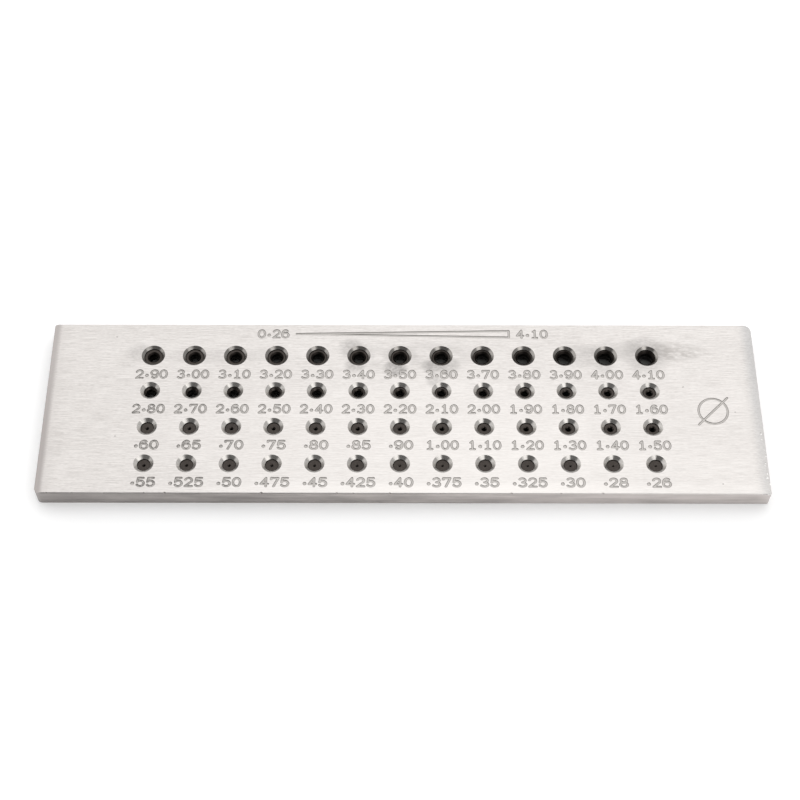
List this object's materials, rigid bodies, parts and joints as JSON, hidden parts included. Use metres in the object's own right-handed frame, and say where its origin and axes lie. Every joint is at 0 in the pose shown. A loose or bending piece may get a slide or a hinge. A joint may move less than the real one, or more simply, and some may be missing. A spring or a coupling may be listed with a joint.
{
  "type": "wire draw plate",
  "caption": "Flat ground-steel draw plate with rows of pressed-in carbide dies of graded bore, each numbered in millimetres, for pulling wire down to size.",
  "frame": {"origin": "middle of the plate's back face, on the surface that it lies on", "axes": "+X along the rows, to the right as the numbers read; +Y towards the row of largest dies; +Z out of the numbered front face"},
  "size_m": [0.2174, 0.0596, 0.0063],
  "materials": {
    "ground_steel": "satin",
    "carbide": "satin"
  },
  "bodies": {
    "root": {"plate": "ground_steel", "die_row1_01": "carbide", "die_row1_02": "carbide", "die_row1_03": "carbide", "die_row1_04": "carbide", "die_row1_05": "carbide", "die_row1_06": "carbide", "die_row1_07": "carbide", "die_row1_08": "carbide", "die_row1_09": "carbide", "die_row1_10": "carbide", "die_row1_11": "carbide", "die_row1_12": "carbide", "die_row1_13": "carbide", "die_row2_01": "carbide", "die_row2_02": "carbide", "die_row2_03": "carbide", "die_row2_04": "carbide", "die_row2_05": "carbide", "die_row2_06": "carbide", "die_row2_07": "carbide", "die_row2_08": "carbide", "die_row2_09": "carbide", "die_row2_10": "carbide", "die_row2_11": "carbide", "die_row2_12": "carbide", "die_row2_13": "carbide", "die_row3_01": "carbide", "die_row3_02": "carbide", "die_row3_03": "carbide", "die_row3_04": "carbide", "die_row3_05": "carbide", "die_row3_06": "carbide", "die_row3_07": "carbide", "die_row3_08": "carbide", "die_row3_09": "carbide", "die_row3_10": "carbide", "die_row3_11": "carbide", "die_row3_12": "carbide", "die_row3_13": "carbide", "die_row4_01": "carbide", "die_row4_02": "carbide", "die_row4_03": "carbide", "die_row4_04": "carbide", "die_row4_05": "carbide", "die_row4_06": "carbide", "die_row4_07": "carbide", "die_row4_08": "carbide", "die_row4_09": "carbide", "die_row4_10": "carbide", "die_row4_11": "carbide", "die_row4_12": "carbide", "die_row4_13": "carbide"}
  },
  "joints": []
}
